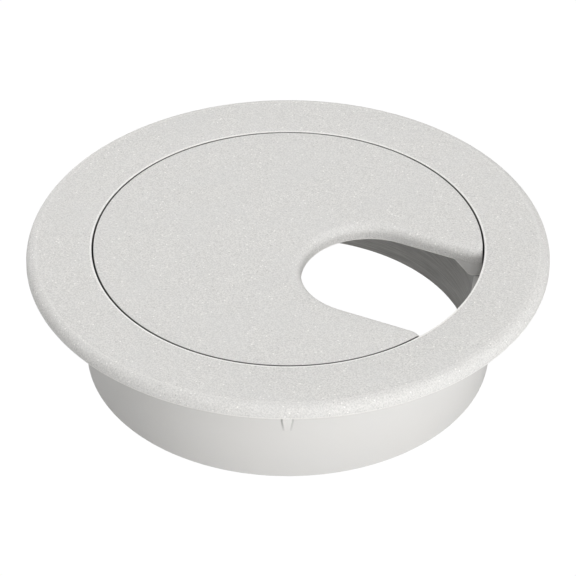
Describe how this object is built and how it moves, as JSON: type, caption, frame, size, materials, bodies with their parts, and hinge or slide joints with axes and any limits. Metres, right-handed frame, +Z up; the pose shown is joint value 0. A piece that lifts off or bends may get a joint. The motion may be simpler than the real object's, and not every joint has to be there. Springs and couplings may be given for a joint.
{
  "type": "desk grommet",
  "caption": "Round cable grommet for a desk top: a flanged sleeve that drops into a round hole, and a flush turning cap with a U-shaped cable outlet.",
  "frame": {"origin": "on the grommet's axis, in the plane of the flange's underside, which is the plane of the desk top", "axes": "+Z up out of the desk along the grommet's axis; +X from the axis towards the cap's cable outlet at rest"},
  "size_m": [0.076, 0.076, 0.019],
  "materials": {
    "sleeve_plastic": "light grey moulded plastic, fine spark-eroded grain on the flange, smooth satin tube",
    "cap_plastic": "light grey moulded plastic, fine spark-eroded grain on top, plain underneath"
  },
  "bodies": {
    "sleeve": {"sleeve": "sleeve_plastic"},
    "cap": {"cap": "cap_plastic"}
  },
  "joints": [
    {"name": "cap_turn", "type": "hinge", "parent": "sleeve", "child": "cap", "pos_m": [0, 0, 0], "axis": [0, 0, 1], "continuous": true}
  ]
}
